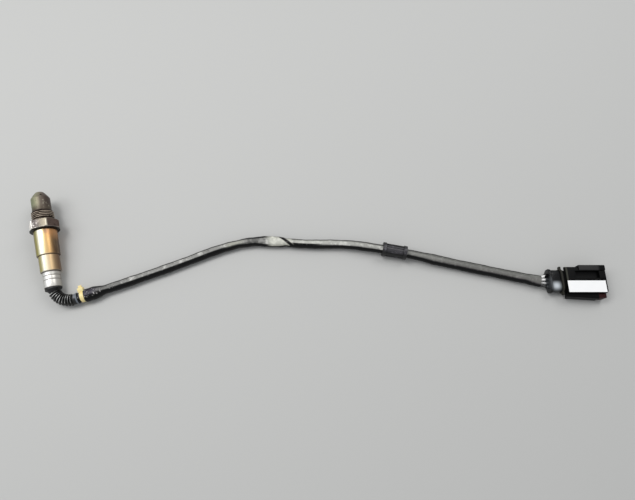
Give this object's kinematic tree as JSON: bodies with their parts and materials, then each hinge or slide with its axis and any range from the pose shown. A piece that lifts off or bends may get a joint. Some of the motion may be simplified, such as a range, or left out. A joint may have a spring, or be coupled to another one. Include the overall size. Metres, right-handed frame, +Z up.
{
  "type": "oxygen sensor",
  "caption": "Heated automotive oxygen sensor: threaded hexagon body with perforated tip, stepped heat-tinted sleeve, ribbed right-angle boot, long sheathed lead and flat plug.",
  "frame": {"origin": "on the floor below the middle of the sensor body's own box, lead and boot left out", "axes": "+Y along the sensor's axis towards its tip, in plan; +Z up; the lead leaves towards +X"},
  "size_m": [0.4785, 0.2141, 0.024],
  "materials": {
    "hexagon_steel": "zinc-plated, worn, heat-tinted",
    "thread_steel": "dark, coated with anti-seize paste",
    "gasket_steel": "crushed sealing ring",
    "tube_steel": "heat-tinted stainless, matte",
    "sleeve_steel": "stainless with straw to copper heat colours",
    "ceramic": "fired, unglazed",
    "powder": "pressed talc",
    "element_ceramic": "fired zirconia",
    "contact_alloy": "nickel alloy strip",
    "grommet_rubber": "high-temperature fluoro rubber",
    "boot_rubber": "smooth, slightly glossy",
    "sheath_rubber": "matte, scuffed",
    "clip_rubber": "matte",
    "tie_nylon": "natural nylon, yellowed",
    "plug_plastic": "moulded, fine grain",
    "cap_plastic": "moulded",
    "lock_plastic": "moulded",
    "pin_metal": "tinned",
    "seal_rubber": "silicone",
    "white_wire": "smooth insulation",
    "grey_wire": "smooth insulation",
    "black_wire": "smooth insulation",
    "label_paper": "blank self-adhesive label"
  },
  "bodies": {
    "root": {"housing": "hexagon_steel", "gasket": "gasket_steel", "outer_protection_tube": "tube_steel", "inner_protection_tube": "tube_steel", "lower_insulator": "ceramic", "seal_pack": "powder", "upper_insulator": "ceramic", "sensing_element": "element_ceramic", "protective_sleeve": "sleeve_steel", "contact_holder_upper": "ceramic", "contact_holder_lower": "ceramic", "clamp_ring": "contact_alloy", "contact_1": "contact_alloy", "contact_2": "contact_alloy", "contact_3": "contact_alloy", "contact_4": "contact_alloy", "wire_grommet": "grommet_rubber", "sheath": "sheath_rubber", "boot": "boot_rubber", "cable_tie": "tie_nylon", "cable_clip": "clip_rubber", "rear_cap": "cap_plastic", "plug_housing": "plug_plastic", "side_lock": "lock_plastic", "label": "label_paper", "plug_pin_1": "pin_metal", "plug_pin_2": "pin_metal", "plug_pin_3": "pin_metal", "plug_pin_4": "pin_metal", "wire_seal_1": "seal_rubber", "wire_seal_2": "seal_rubber", "wire_seal_3": "seal_rubber", "wire_seal_4": "seal_rubber", "heater_wire_a": "white_wire", "heater_wire_b": "white_wire", "ground_wire": "grey_wire", "signal_wire": "black_wire"}
  },
  "joints": []
}
